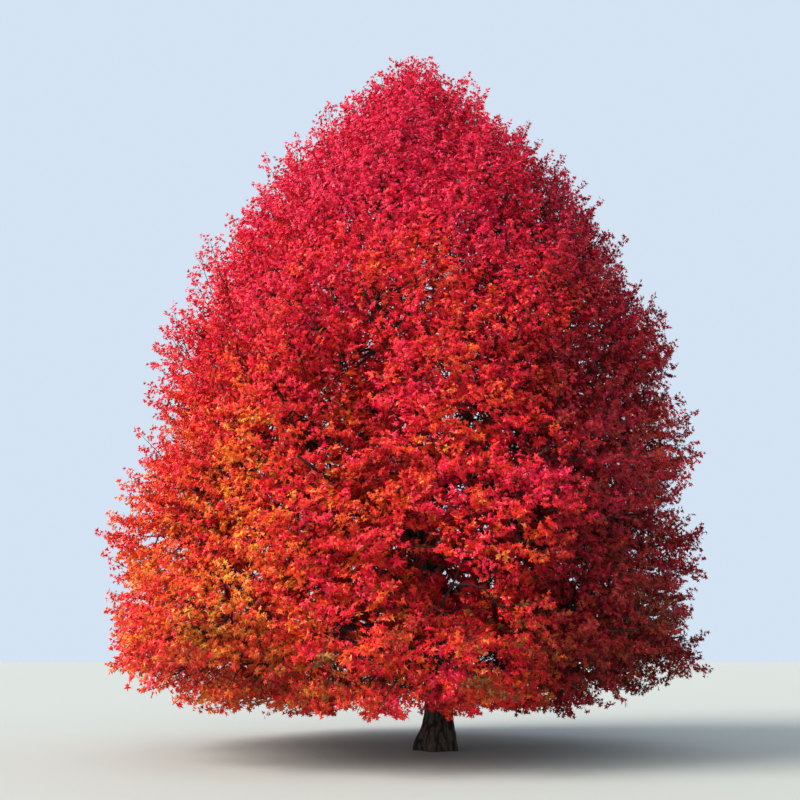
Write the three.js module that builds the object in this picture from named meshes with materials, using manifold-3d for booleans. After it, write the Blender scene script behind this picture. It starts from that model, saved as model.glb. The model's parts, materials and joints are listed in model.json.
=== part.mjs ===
// A sweetgum tree in full autumn leaf: a trunk with a root flare, boughs that leave it in four tiers,
// a mass of twigs and star-shaped leaves at the end of each bough, and one more mass at the top.
// Millimetres, +Z up. The origin is the middle of the trunk's flat cut at ground level.
import * as THREE from 'three';
import { mergeVertices } from 'three/addons/utils/BufferGeometryUtils.js';
import Module from 'manifold-3d';

const wasm = await Module();
wasm.setup();

// The whole tree
const TREE_HEIGHT = 13400;
const CROWN_RADIUS = 5350;
const WIDEST_HEIGHT = 3000;
const CROWN_FOOT = 600;
const CROWN_CENTRE_X = -380;

// The crown's outline: how it closes above and below its widest level
const CLOSE_ABOVE = { power: 2.2, root: 0.73 };
const CLOSE_BELOW = { power: 9, root: 0.4 };
// Swells and hollows of the outline, and the clefts where two masses meet
const SWELLS = [
  { share: 0.03, round: 3, perMetre: 0.9, phase: 0.4 },
  { share: 0.025, round: 7, perMetre: -1.7, phase: 2.1 },
];
const CLEFT = { share: 0.09, width: 800 };

// The trunk, with rings closer together towards its foot. Its flare is heavier on one side, the heel,
// and it rises a little away from its heel before it leans.
const TRUNK = { height: 11000, tipRadius: 32, footRadius: 250, taper: 0.85, sides: 15, rings: 14, crowding: 1.8 };
const FLARE = { radius: 125, height: 380, lobes: 5, lobeShare: 0.12, lobeHeight: 420, heel: 0.5, heelTurn: Math.PI };
const LEAN = { start: 62, x: -442, height: 3400 };

// Tiers of boughs, from the ground up. height and share place the middle of each mass: share is of the
// crown's radius there. foot and spread are where the boughs leave the trunk, radius is their own, and
// lift is the tangent of their rise there.
const TIERS = [
  { name: 'skirt', count: 8, height: 1900, share: 0.72, foot: 1150, spread: 850, lift: 0.28, radius: 74 },
  { name: 'low', count: 8, height: 4250, share: 0.72, foot: 2350, spread: 1150, lift: 0.55, radius: 78 },
  { name: 'middle', count: 7, height: 6750, share: 0.7, foot: 4200, spread: 1300, lift: 0.85, radius: 66 },
  { name: 'upper', count: 5, height: 9250, share: 0.62, foot: 6550, spread: 1200, lift: 1.1, radius: 52 },
];
const TOP = { name: 'top', height: 11950, seed: 9000, limbDepth: 3000 };
const SCATTER = { turn: 0.2, height: 160, share: 0.03 };
const GOLDEN_TURN = Math.PI * (3 - Math.sqrt(5));

// A bough ends where it enters its mass: at a share of the crown's radius, and a share of the way up
// from its foot to the mass's middle. leave and arrive are how far its ends run straight.
const BOUGH = { sides: 6, rings: 5, tipShare: 0.52, rise: 0.72, leave: 0.4, arrive: 0.35, samples: 12 };
const ENTRY_SHARE = 0.46;
// A mass keeps outside this share of the crown's radius, where the limbs run bare
const BARE_SHARE = 0.42;
const JOINT_GAP = 0.3;
const CELL_MARGIN = 12;
const LIMB_MARGIN = 60;

// Each mass's core is a lens, long along the crown's outline and thin across it: shares of the way from
// the mass's middle to the edge of its space. The top's is rounder. Each is uneven by a seeded share.
const CORE = { along: 0.97, out: 0.33, in: 0.17, detail: 1, most: 2100, least: 110, uneven: 0.1 };
const TOP_CORE = { ...CORE, along: 0.86, out: 0.6, in: 0.5 };
const STEM = { sides: 5, rings: 3, reach: 0.55, tipShare: 0.5, joints: 6, bare: 0.5 };
const TWIG = { sides: 3, tipRadius: 13, taper: 0.014, pathWeight: 0.6 };
const REACH = { step: 40, most: 4000 };

// Sprays of leaves, even over the whole crown, at a depth inside its outline
const SPRAYS = { count: 174, least: 120, most: 620, levels: 400 };
// Every third spray is a long shoot: its leaf points away from the crown and touches the outline
const SHOOT = { every: 3, depth: 690 };
const TREE_TIP = { x: -450, depth: 720 };
// A spray with less lead than this over the next mass moves in by a share of what is missing
const SPRAY_ROOM = { lead: 900, share: 0.6 };

// A leaf stands for a spray. Its five lobes are told by angle from its front and by length, and its
// twig enters in one facet, between a back lobe and the notch. Its sizes are tried until one fits.
const LEAF = { length: 1220, thickness: 38, notch: 0.42, droop: 0.16, scatter: 0.6, lift: 0.4 };
const LEAF_SIZES = [1, 0.85, 0.7, 0.55];
const LOBES = [
  { angle: 0, length: 0.56 },
  { angle: 1.12, length: 0.54 },
  { angle: 2.2, length: 0.4 },
  { angle: -2.2, length: 0.4 },
  { angle: -1.12, length: 0.54 },
];
const STALK = { share: 0.085, angle: 2.72 };

// How far a surface may move when slivers are merged away
const MERGE = { bough: 0.05, mass: 1.5 };

const BARK = { colour: 0x3a3029, roughness: 0.9 };
const LEAF_ROUGHNESS = 0.6;
const LEAF_COLOURS = { crimson: 0xb3122a, scarlet: 0xcf2418, orange: 0xd9541a, maroon: 0x7a1024 };
const TINTS = { crimsonFrom: 8500, orangeUnder: 5500, side: 1500 };

const UP = new THREE.Vector3(0, 0, 1);
const FULL_TURN = 2 * Math.PI;
const { lerp, clamp, euclideanModulo } = THREE.MathUtils;

// Seeded random numbers from 0 to 1
function seeded(seed) {
  let state = Math.imul(seed + 1, 2654435761) >>> 0;
  return () => {
    state = (Math.imul(state, 1664525) + 1013904223) >>> 0;
    return state / 4294967296;
  };
}

// The crown's radius at a height, before its swells
function crownRadius(z) {
  if (z >= TREE_HEIGHT || z <= CROWN_FOOT) return 0;
  const above = z > WIDEST_HEIGHT;
  const span = above ? TREE_HEIGHT - WIDEST_HEIGHT : WIDEST_HEIGHT - CROWN_FOOT;
  const { power, root } = above ? CLOSE_ABOVE : CLOSE_BELOW;
  return CROWN_RADIUS * (1 - (Math.abs(z - WIDEST_HEIGHT) / span) ** power) ** root;
}

function swell(angle, z) {
  const waves = SWELLS.map(w => w.share * Math.sin(w.round * angle + (w.perMetre * z) / 1000 + w.phase));
  return 1 + waves.reduce((sum, wave) => sum + wave, 0);
}

function onCrown(angle, z, share) {
  const radius = crownRadius(z) * share;
  return new THREE.Vector3(CROWN_CENTRE_X + radius * Math.cos(angle), radius * Math.sin(angle), z);
}

function fromCrownAxis(point) {
  return Math.hypot(point.x - CROWN_CENTRE_X, point.y);
}

// The direction square to the crown's outline at a point's height and bearing
function outwardAt(point) {
  const radius = fromCrownAxis(point);
  if (radius < 1) return UP.clone();
  const slope = (crownRadius(point.z - 100) - crownRadius(point.z + 100)) / 200;
  const rise = clamp(slope, -0.7, 4);
  return new THREE.Vector3((point.x - CROWN_CENTRE_X) / radius, point.y / radius, rise).normalize();
}

// The masses: a name, a middle, and where the bough that carries each leaves the trunk
function placeMasses() {
  const placed = [];
  TIERS.forEach((tier, level) => {
    for (let i = 0; i < tier.count; i++) {
      const random = seeded(100 * level + i);
      const turn = ((i + 0.5 * (level % 2) + SCATTER.turn * (random() - 0.5)) * FULL_TURN) / tier.count;
      const height = tier.height + SCATTER.height * (2 * random() - 1);
      const middle = onCrown(turn, height, tier.share + SCATTER.share * (2 * random() - 1));
      const foot = tier.foot + tier.spread * (((i * GOLDEN_TURN) / FULL_TURN) % 1);
      placed.push({ name: `${tier.name}_${i + 1}`, tier, turn, middle, foot, seed: 1000 * level + i });
    }
  });
  const middle = new THREE.Vector3(CROWN_CENTRE_X, 0, TOP.height);
  placed.push({ name: TOP.name, tier: null, turn: 0, middle, foot: TRUNK.height, seed: TOP.seed });
  return placed;
}

const masses = placeMasses();

// The mass whose middle is nearest, and how much further away the next one is
function nearestMass(point) {
  const away = masses.map(mass => ({ mass, distance: mass.middle.distanceTo(point) }));
  away.sort((a, b) => a.distance - b.distance);
  return { mass: away[0].mass, lead: away[1].distance - away[0].distance };
}

// The outline at a point's height and bearing, with its swells and the clefts between masses
function outlineRadius(point, lead) {
  const angle = Math.atan2(point.y, point.x - CROWN_CENTRE_X);
  const cleft = CLEFT.share * (1 - Math.min(1, lead / CLEFT.width)) ** 2;
  return crownRadius(point.z) * swell(angle, point.z) * (1 - cleft);
}

// Whether a point is in a mass's own space
function inSpace(mass, point) {
  if (point.z < CROWN_FOOT + CELL_MARGIN || point.z > TREE_HEIGHT) return false;
  const nearest = nearestMass(point);
  if (nearest.mass !== mass || nearest.lead < 2 * CELL_MARGIN) return false;
  const radius = fromCrownAxis(point);
  if (mass.tier && radius < BARE_SHARE * crownRadius(point.z) + LIMB_MARGIN) return false;
  return radius <= outlineRadius(point, nearest.lead);
}

// How far a mass's space reaches from its middle in a direction
function reachOf(mass, direction) {
  let distance = 0;
  while (distance < REACH.most) {
    const next = mass.middle.clone().addScaledVector(direction, distance + REACH.step);
    if (!inSpace(mass, next)) break;
    distance += REACH.step;
  }
  return distance;
}

function trunkCentre(z) {
  return new THREE.Vector3(LEAN.start + LEAN.x * (1 - Math.exp(-((z / LEAN.height) ** 2))), 0, z);
}

function trunkRadius(z, angle) {
  const turn = angle - FLARE.heelTurn;
  const stem = lerp(TRUNK.tipRadius, TRUNK.footRadius, (1 - z / TRUNK.height) ** TRUNK.taper);
  const flare = FLARE.radius * Math.exp(-((z / FLARE.height) ** 2)) * (1 + FLARE.heel * Math.cos(turn));
  const lobes = FLARE.lobeShare * Math.exp(-z / FLARE.lobeHeight) * Math.cos(FLARE.lobes * turn);
  return (stem + flare) * (1 + lobes);
}

// A solid from a geometry's positions alone
function solidOf(geometry) {
  geometry.deleteAttribute('normal');
  geometry.deleteAttribute('uv');
  const merged = mergeVertices(geometry, 1e-3);
  return new wasm.Manifold(new wasm.Mesh({
    numProp: 3,
    vertProperties: merged.attributes.position.array,
    triVerts: new Uint32Array(merged.index.array),
  }));
}

// A closed round bar. place gives each vertex from its share of the length, angle and share of the radius.
function bar(sides, rings, place) {
  const geometry = new THREE.CylinderGeometry(1, 1, 1, sides, rings);
  const positions = geometry.attributes.position;
  for (let i = 0; i < positions.count; i++) {
    const [x, y, z] = [positions.getX(i), positions.getY(i), positions.getZ(i)];
    const point = place(y + 0.5, Math.atan2(-z, x), Math.hypot(x, z));
    positions.setXYZ(i, point.x, point.y, point.z);
  }
  return solidOf(geometry);
}

// The trunk, larger all round by a margin
function trunkSolid(margin = 0) {
  return bar(TRUNK.sides, TRUNK.rings, (along, angle, out) => {
    const z = TRUNK.height * along ** TRUNK.crowding;
    const radius = out * (trunkRadius(z, angle) + margin);
    return trunkCentre(z).add(new THREE.Vector3(radius * Math.cos(angle), radius * Math.sin(angle), 0));
  });
}

// Two directions square to a tangent, the first of them level where that can be
function squareTo(tangent) {
  const level = Math.abs(tangent.z) < 0.99 ? UP : new THREE.Vector3(1, 0, 0);
  const side = new THREE.Vector3().crossVectors(level, tangent).normalize();
  return [side, new THREE.Vector3().crossVectors(tangent, side)];
}

// A limb along a curve, tapering from one radius to the other
function limbSolid(curve, from, to, sides, rings) {
  return bar(sides, rings, (along, angle, out) => {
    const [side, rise] = squareTo(curve.getTangentAt(along));
    const radius = out * lerp(from, to, along);
    return curve.getPointAt(along)
      .addScaledVector(side, radius * Math.cos(angle))
      .addScaledVector(rise, radius * Math.sin(angle));
  });
}

// The largest body of a solid, without scraps, sealed hollows or slivers
function tidied(solid, merge) {
  const bodies = solid.simplify(merge).decompose().filter(body => body.volume() > 0);
  bodies.sort((a, b) => b.volume() - a.volume());
  return bodies[0];
}

// A bough's line, from the trunk's middle to where it enters its mass
function boughCurve(mass) {
  const start = trunkCentre(mass.foot);
  const end = onCrown(mass.turn, lerp(mass.foot, mass.middle.z, BOUGH.rise), ENTRY_SHARE);
  const run = Math.hypot(end.x - start.x, end.y - start.y);
  const leaving = new THREE.Vector3(Math.cos(mass.turn), Math.sin(mass.turn), mass.tier.lift);
  const arriving = mass.middle.clone().sub(end).normalize();
  return new THREE.CubicBezierCurve3(
    start,
    start.clone().addScaledVector(leaving, BOUGH.leave * run),
    end.clone().addScaledVector(arriving, -BOUGH.arrive * run),
    end,
  );
}

function boughTipRadius(mass) {
  return BOUGH.tipShare * mass.tier.radius;
}

function boughSolid(mass, curve, clearOfTrunk) {
  const whole = limbSolid(curve, mass.tier.radius, boughTipRadius(mass), BOUGH.sides, BOUGH.rings);
  return tidied(whole.subtract(clearOfTrunk), MERGE.bough);
}

// The inner core that the leaves stand out of, cut clear of the trunk
function coreSolid(mass) {
  const random = seeded(mass.seed + 300);
  const shape = mass.tier ? CORE : TOP_CORE;
  const outward = outwardAt(mass.middle);
  const geometry = new THREE.IcosahedronGeometry(1, shape.detail);
  const positions = geometry.attributes.position;
  const radii = new Map();
  for (let i = 0; i < positions.count; i++) {
    const direction = new THREE.Vector3().fromBufferAttribute(positions, i).normalize();
    const corner = direction.toArray().map(value => Math.round(value * 1000)).join();
    if (!radii.has(corner)) {
      const facing = clamp(direction.dot(outward), -1, 1);
      const across = facing > 0 ? shape.out : shape.in;
      const share = 1 / Math.hypot(facing / across, Math.sqrt(1 - facing ** 2) / shape.along);
      const radius = share * (1 - shape.uneven * random()) * reachOf(mass, direction);
      radii.set(corner, clamp(radius, shape.least, shape.most));
    }
    const point = direction.multiplyScalar(radii.get(corner)).add(mass.middle);
    positions.setXYZ(i, point.x, point.y, point.z);
  }
  const core = solidOf(geometry);
  return mass.tier ? core : core.subtract(trunkSolid(LIMB_MARGIN));
}

// The stem that goes on from the limb, a little clear of its tip, through the middle of the mass
function stemCurve(mass, tip, tangent) {
  const start = tip.clone().addScaledVector(tangent, JOINT_GAP);
  const outward = mass.middle.clone().sub(tip).normalize();
  const end = mass.middle.clone().addScaledVector(outward, STEM.reach * reachOf(mass, outward));
  const lead = start.distanceTo(end) / 3;
  return new THREE.CubicBezierCurve3(
    start,
    start.clone().addScaledVector(tangent, lead),
    end.clone().addScaledVector(outward, -lead),
    end,
  );
}

// The star's outline by corner: each lobe's tip, then the notch between it and the next lobe
function starCorner(corner) {
  const lobe = LOBES[Math.floor(corner / 2)];
  if (corner % 2 === 0) return { angle: lobe.angle, out: lobe.length, tip: true };
  const next = LOBES[Math.floor(corner / 2 + 1) % LOBES.length];
  const angle = lobe.angle + euclideanModulo(next.angle - lobe.angle, FULL_TURN) / 2;
  return { angle, out: LEAF.notch * Math.min(lobe.length, next.length), tip: false };
}

// A leaf whose twig ends at a place: a ball of two rings, pressed flat and drawn out to the star
function leafSolid(place, { ahead, normal }, length) {
  const side = new THREE.Vector3().crossVectors(normal, ahead).normalize();
  const onLeaf = (origin, angle, out) => origin.clone()
    .addScaledVector(ahead, out * Math.cos(angle))
    .addScaledVector(side, -out * Math.sin(angle));
  const middle = onLeaf(place, STALK.angle + Math.PI, STALK.share * length);
  const corners = 2 * LOBES.length;
  const geometry = new THREE.SphereGeometry(1, corners, 2);
  const positions = geometry.attributes.position;
  for (let i = 0; i < positions.count; i++) {
    const [x, y, z] = [positions.getX(i), positions.getY(i), positions.getZ(i)];
    let point = middle.clone().addScaledVector(normal, (Math.sign(y) * LEAF.thickness) / 2);
    if (Math.abs(y) < 0.5) {
      const turn = Math.round((Math.atan2(z, x) / FULL_TURN) * corners);
      const { angle, out, tip } = starCorner(euclideanModulo(turn, corners));
      point = onLeaf(middle, angle, out * length);
      if (tip) point.addScaledVector(normal, -LEAF.droop * out * length);
    }
    positions.setXYZ(i, point.x, point.y, point.z);
  }
  return solidOf(geometry);
}

// Heights that share the crown's outer surface out evenly
function evenHeights(count) {
  const heightOf = level => lerp(CROWN_FOOT, TREE_HEIGHT, level / SPRAYS.levels);
  const areaBelow = [0];
  for (let level = 0; level < SPRAYS.levels; level++) {
    const [low, high] = [crownRadius(heightOf(level)), crownRadius(heightOf(level + 1))];
    const slant = Math.hypot(high - low, heightOf(1) - heightOf(0));
    areaBelow.push(areaBelow[level] + ((low + high) / 2) * slant);
  }
  const total = areaBelow[SPRAYS.levels];
  return Array.from({ length: count }, (_, i) => {
    const level = areaBelow.findIndex(below => below >= ((i + 0.5) / count) * total);
    return heightOf(level - 0.5);
  });
}

// Sprays over the whole crown, a golden turn apart, each inside its outline by its depth
function placeSprays() {
  const random = seeded(77);
  const sprays = evenHeights(SPRAYS.count).map((z, i) => {
    const angle = i * GOLDEN_TURN;
    const shoot = i % SHOOT.every === 0;
    const depth = shoot ? SHOOT.depth : lerp(SPRAYS.least, SPRAYS.most, random());
    const rough = onCrown(angle, z, 1);
    const outline = onCrown(angle, z, outlineRadius(rough, nearestMass(rough).lead) / crownRadius(z));
    return { point: outline.addScaledVector(outwardAt(outline), -depth), shoot };
  });
  for (const { point } of sprays) {
    const { mass, lead } = nearestMass(point);
    const inward = mass.middle.clone().sub(point).projectOnPlane(outwardAt(point)).normalize();
    point.addScaledVector(inward, SPRAY_ROOM.share * Math.max(0, SPRAY_ROOM.lead - lead));
  }
  sprays.push({ point: new THREE.Vector3(TREE_TIP.x, 0, TREE_HEIGHT - TREE_TIP.depth), shoot: true });
  return sprays;
}

// Twigs from the stem to each spray: each joins what has already grown, where the way back is short
function growTwigs(stem, sprays) {
  const grown = [];
  for (let i = 1; i <= STEM.joints; i++) {
    const along = lerp(STEM.bare, 1, i / STEM.joints);
    const path = along * stem.getLength();
    grown.push({ point: stem.getPointAt(along), path, parent: null, length: 0, beyond: 0 });
  }
  const base = stem.getPointAt(0);
  const ordered = [...sprays].sort((a, b) => a.point.distanceTo(base) - b.point.distanceTo(base));
  for (const { point, shoot } of ordered) {
    const cost = joint => joint.point.distanceTo(point) + TWIG.pathWeight * joint.path;
    const parent = grown.reduce((best, joint) => (cost(joint) < cost(best) ? joint : best));
    const length = parent.point.distanceTo(point);
    grown.push({ point, shoot, path: parent.path + length, parent, length, beyond: 0 });
    for (let joint = parent, beyond = length; joint; beyond += joint.length, joint = joint.parent) {
      joint.beyond = Math.max(joint.beyond, beyond);
    }
  }
  return grown.filter(joint => joint.parent);
}

// Whether every corner of a solid lies in the mass's space, clear of the limb that carries it
function keepsToSpace(mass, solid, limb) {
  const { vertProperties, numVert } = solid.getMesh();
  for (let i = 0; i < numVert; i++) {
    const point = new THREE.Vector3().fromArray(vertProperties, 3 * i);
    if (!inSpace(mass, point)) return false;
    if (limb.some(({ centre, radius }) => centre.distanceTo(point) < radius + LIMB_MARGIN)) return false;
  }
  return true;
}

// Which way a leaf faces and which way it points. A shoot's leaf points away from the crown.
function leafBearing(twig, random) {
  const scatter = () => new THREE.Vector3(random() - 0.5, random() - 0.5, random() - 0.5);
  const outward = outwardAt(twig.point);
  if (twig.shoot) {
    const ahead = outward.addScaledVector(scatter(), LEAF.scatter).normalize();
    const [side, rise] = squareTo(ahead);
    const turn = FULL_TURN * random();
    return { ahead, normal: side.multiplyScalar(Math.cos(turn)).addScaledVector(rise, Math.sin(turn)) };
  }
  const normal = outward.addScaledVector(UP, LEAF.lift).addScaledVector(scatter(), LEAF.scatter).normalize();
  const ahead = twig.point.clone().sub(twig.parent.point).normalize().add(scatter());
  return { ahead: ahead.projectOnPlane(normal).normalize(), normal };
}

// The largest leaf at a twig's end that keeps to the mass's space, or none
function leafAt(mass, twig, limb, random) {
  const bearing = leafBearing(twig, random);
  for (const size of LEAF_SIZES) {
    const leaf = leafSolid(twig.point, bearing, size * LEAF.length);
    if (keepsToSpace(mass, leaf, limb)) return leaf;
  }
  return null;
}

function massSolid(mass, sprays, limb, stem, stemRadius) {
  const random = seeded(mass.seed + 500);
  const parts = [
    coreSolid(mass),
    limbSolid(stem, stemRadius, STEM.tipShare * stemRadius, STEM.sides, STEM.rings),
  ];
  for (const twig of growTwigs(stem, sprays)) {
    const radiusAt = joint => TWIG.tipRadius + TWIG.taper * joint.beyond;
    const line = new THREE.LineCurve3(twig.parent.point, twig.point);
    const stick = limbSolid(line, radiusAt(twig.parent), radiusAt(twig), TWIG.sides, 1);
    const leaf = leafAt(mass, twig, limb, random);
    if (leaf && keepsToSpace(mass, stick, limb)) parts.push(stick, leaf);
  }
  return tidied(wasm.Manifold.union(parts), MERGE.mass);
}

// Crimson at the top, orange low on the left, maroon on the right, scarlet between
function colourOf(mass) {
  const { x, z } = mass.middle;
  if (z > TINTS.crimsonFrom) return LEAF_COLOURS.crimson;
  if (x < -TINTS.side && z < TINTS.orangeUnder) return LEAF_COLOURS.orange;
  if (x > TINTS.side) return LEAF_COLOURS.maroon;
  return LEAF_COLOURS.scarlet;
}

// A named mesh for a solid, its geometry told from its own place
function meshOf(name, solid, place, colour, roughness) {
  const { vertProperties, triVerts } = solid.translate([-place.x, -place.y, -place.z]).getMesh();
  const geometry = new THREE.BufferGeometry();
  geometry.setAttribute('position', new THREE.BufferAttribute(vertProperties, 3));
  geometry.setIndex(new THREE.BufferAttribute(triVerts, 1));
  geometry.computeVertexNormals();
  const material = new THREE.MeshStandardMaterial({ color: colour, roughness, metalness: 0 });
  const mesh = new THREE.Mesh(geometry, material);
  mesh.name = name;
  mesh.position.copy(place);
  return mesh;
}

const tree = new THREE.Group();
const clearOfTrunk = trunkSolid(JOINT_GAP);
tree.add(meshOf('trunk', trunkSolid(), new THREE.Vector3(), BARK.colour, BARK.roughness));

const spraysOf = new Map(masses.map(mass => [mass, []]));
for (const spray of placeSprays()) spraysOf.get(nearestMass(spray.point).mass).push(spray);

function addMass(mass, limb, tip, tangent, stemRadius) {
  const stem = stemCurve(mass, tip, tangent);
  const solid = massSolid(mass, spraysOf.get(mass), limb, stem, stemRadius);
  tree.add(meshOf(`foliage_${mass.name}`, solid, mass.middle, colourOf(mass), LEAF_ROUGHNESS));
}

for (const mass of masses.filter(({ tier }) => tier)) {
  const curve = boughCurve(mass);
  const bough = boughSolid(mass, curve, clearOfTrunk);
  tree.add(meshOf(`bough_${mass.name}`, bough, trunkCentre(mass.foot), BARK.colour, BARK.roughness));
  const limb = curve.getSpacedPoints(BOUGH.samples).map(centre => ({ centre, radius: mass.tier.radius }));
  addMass(mass, limb, curve.getPointAt(1), curve.getTangentAt(1), boughTipRadius(mass));
}

// The top's stem goes on from the trunk's tip
const top = masses.find(({ tier }) => !tier);
const leader = [];
for (let depth = 0; depth <= TOP.limbDepth; depth += 100) {
  const z = TRUNK.height - depth;
  leader.push({ centre: trunkCentre(z), radius: trunkRadius(z, 0) });
}
addMass(top, leader, trunkCentre(TRUNK.height), UP, TRUNK.tipRadius);

export default tree;
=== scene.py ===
# A sweetgum in full autumn leaf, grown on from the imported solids. The trunk and boughs keep the solids'
# lines and get their bark. From each bough a stem, twigs, branchlets and shoots go on by the seeded rule
# that the solid masses follow, down to single leaves. Metres, +Z up, origin under the trunk's foot.
import json
import math
from dataclasses import dataclass

import bpy
import numpy as np
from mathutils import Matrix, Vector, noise


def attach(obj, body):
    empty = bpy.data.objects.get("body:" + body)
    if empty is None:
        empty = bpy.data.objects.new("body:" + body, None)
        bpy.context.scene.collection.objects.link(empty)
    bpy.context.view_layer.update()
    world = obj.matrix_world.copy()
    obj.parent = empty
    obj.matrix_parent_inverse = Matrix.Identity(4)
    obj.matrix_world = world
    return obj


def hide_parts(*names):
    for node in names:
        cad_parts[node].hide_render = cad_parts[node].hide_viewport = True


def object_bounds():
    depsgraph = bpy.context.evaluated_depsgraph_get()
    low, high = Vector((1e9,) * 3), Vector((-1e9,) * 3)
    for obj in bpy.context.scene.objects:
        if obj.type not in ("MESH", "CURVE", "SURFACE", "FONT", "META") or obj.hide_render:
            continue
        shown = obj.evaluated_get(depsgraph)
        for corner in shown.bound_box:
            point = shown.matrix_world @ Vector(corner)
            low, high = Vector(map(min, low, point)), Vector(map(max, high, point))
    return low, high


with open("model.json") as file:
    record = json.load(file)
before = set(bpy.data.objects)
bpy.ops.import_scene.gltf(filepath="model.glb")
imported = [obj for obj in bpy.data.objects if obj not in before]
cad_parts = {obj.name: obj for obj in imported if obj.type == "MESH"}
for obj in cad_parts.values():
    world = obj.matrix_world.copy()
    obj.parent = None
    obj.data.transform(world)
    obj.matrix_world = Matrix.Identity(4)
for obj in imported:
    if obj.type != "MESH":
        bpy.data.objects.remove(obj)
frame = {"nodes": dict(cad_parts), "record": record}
cad_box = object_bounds()

FULL_TURN = 2 * math.pi
GOLDEN_TURN = math.pi * (3 - math.sqrt(5))
UP = np.array((0.0, 0.0, 1.0))
SEEDS = {"tree": 20, "gaps": 5}
# How the source's seeded numbers go on from one to the next
SERIES = {"start": 2654435761, "times": 1664525, "plus": 1013904223, "range": 2**32}

# The crown's outline, as the solids have it
TREE_HEIGHT = 13.4
CROWN_RADIUS = 5.35
WIDEST_HEIGHT = 3.0
CROWN_FOOT = 0.6
CROWN_CENTRE = np.array((-0.38, 0.0, 0.0))
CLOSE_ABOVE = {"power": 2.2, "root": 0.73}
CLOSE_BELOW = {"power": 9, "root": 0.4}
SWELLS = (
    {"share": 0.03, "round": 3, "per_metre": 0.9, "phase": 0.4},
    {"share": 0.025, "round": 7, "per_metre": -1.7, "phase": 2.1},
)
CLEFT = {"share": 0.09, "width": 0.8}
BARE_SHARE = 0.42
ENTRY_SHARE = 0.46
# The step that the outline's slope is told by, and how far its outward direction may drop or rise
OUTWARD = {"step": 0.1, "least": -0.7, "most": 4}

# Trunk, boughs and the middles of the masses, as the solids have them
TRUNK = {"height": 11.0, "tip": 0.032, "foot": 0.25, "taper": 0.85}
FLARE = {"radius": 0.125, "height": 0.38, "lobes": 5, "share": 0.12, "lobe_height": 0.42, "heel": 0.5,
         "heel_turn": math.pi}
LEAN = {"start": 0.062, "x": -0.442, "height": 3.4}
TIERS = (
    {"name": "skirt", "count": 8, "height": 1.9, "share": 0.72, "foot": 1.15, "spread": 0.85, "lift": 0.28,
     "radius": 0.074},
    {"name": "low", "count": 8, "height": 4.25, "share": 0.72, "foot": 2.35, "spread": 1.15, "lift": 0.55,
     "radius": 0.078},
    {"name": "middle", "count": 7, "height": 6.75, "share": 0.7, "foot": 4.2, "spread": 1.3, "lift": 0.85,
     "radius": 0.066},
    {"name": "upper", "count": 5, "height": 9.25, "share": 0.62, "foot": 6.55, "spread": 1.2, "lift": 1.1,
     "radius": 0.052},
)
TOP = {"name": "top", "height": 11.95}
# Every second tier stands half a place further round, and each tier's seeds start this much higher
TIER_STEP = {"turn": 0.5, "seed": 100}
SCATTER = {"turn": 0.2, "height": 0.16, "share": 0.03}
BOUGH = {"tip_share": 0.52, "rise": 0.72, "leave": 0.4, "arrive": 0.35}
STEM = {"reach": 0.55, "tip_share": 0.4, "joints": 16, "bare": 0.2}
PATH_WEIGHT = 0.45
# A line counts as upright when its level part is under this
UPRIGHT = 0.05

# Bark relief: rings and sides of the meshes, a bough's collar at the trunk and the share of the trunk's
# radius that it starts at, furrows that run along the limb, each limb's further on in the pattern, and lumps
TRUNK_MESH = {"sides": 104, "rings": 130, "crowding": 1.9}
BOUGH_MESH = {"sides": 11, "rings": 20, "stem_rings": 10}
COLLAR = {"share": 0.5, "length": 0.12, "sunk": 0.7}
FURROWS = {"width": 0.075, "length": 0.4, "depth": 0.05, "edge": 0.24, "caps": (0.5, 0.5), "per_limb": 3.7}
BARK_LUMPS = {"depth": 0.03, "size": 2.3, "shift": 31.7}

# Branchlets in four layers. The outer one makes the crown's surface, the next backs it close behind and
# the last two close the crown. Each layer says how many branchlets it has, how far inside the outline their
# tips lie by turns and how scattered, how much of the shaping below it takes, how long its shoots are, how
# many leaves each shoot has, how large they are, and how far they turn from the way that their spray faces.
BRANCHLETS = {"length": (0.6, 0.95), "lift": (0.15, 0.9), "scatter": 0.9, "bend": 0.05, "rings": 2,
              "sides": 3}
LAYERS = (
    {"count": 2800, "depths": (0.0, 0.12, 0.22, 0.05, 0.3, 0.16), "scatter": 0.1, "shaped": 1.0,
     "shoots": 0.95, "leaves": (12, 14), "leaf": (0.065, 0.095), "turned": 1.15},
    {"count": 640, "depths": (0.38, 0.48, 0.6), "scatter": 0.1, "shaped": 1.0,
     "shoots": 1.4, "leaves": (8, 10), "leaf": (0.105, 0.135), "turned": 0.6},
    {"count": 400, "depths": (1.0, 1.4, 1.9), "scatter": 0.3, "shaped": 0.6,
     "shoots": 2.0, "leaves": (6, 7), "leaf": (0.19, 0.23), "turned": 0.7},
    {"count": 260, "depths": (2.2, 2.7, 3.2), "scatter": 0.3, "shaped": 0.0,
     "shoots": 2.4, "leaves": (6, 7), "leaf": (0.22, 0.26), "turned": 0.7},
)
# Every so many of the outer branchlets stands further out than the rest by this much
LEADERS = {"every": 5, "ahead": 0.24}
# All tips lie this much further in, less at the top and underneath: shoots and leaves reach on from them.
# Counted from there, no tip lies further out than the least depth.
INSET = {"side": 0.36, "top": 0.16, "from": 11.5, "to": 13.0, "under": 0.0}
LEAST_DEPTH = -0.1
# Where the outline faces down more steeply than this, only a share of the branchlets grows
UNDERSIDE = {"facing": -0.5, "share": 0.55}
# Low down the sprays lie level in shelves with gaps between. The gaps grow deeper from left to right between
# two places across, and fade out upwards between two heights.
SHELVES = {"pitch": 0.62, "wander": 1.7, "wide": 2.1, "shift": 5.9, "open": (0.45, 0.85), "most": 0.55,
           "on_left": 0.4, "rightward": (-2.5, 1.5), "fade": (8.5, 4.5)}
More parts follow.
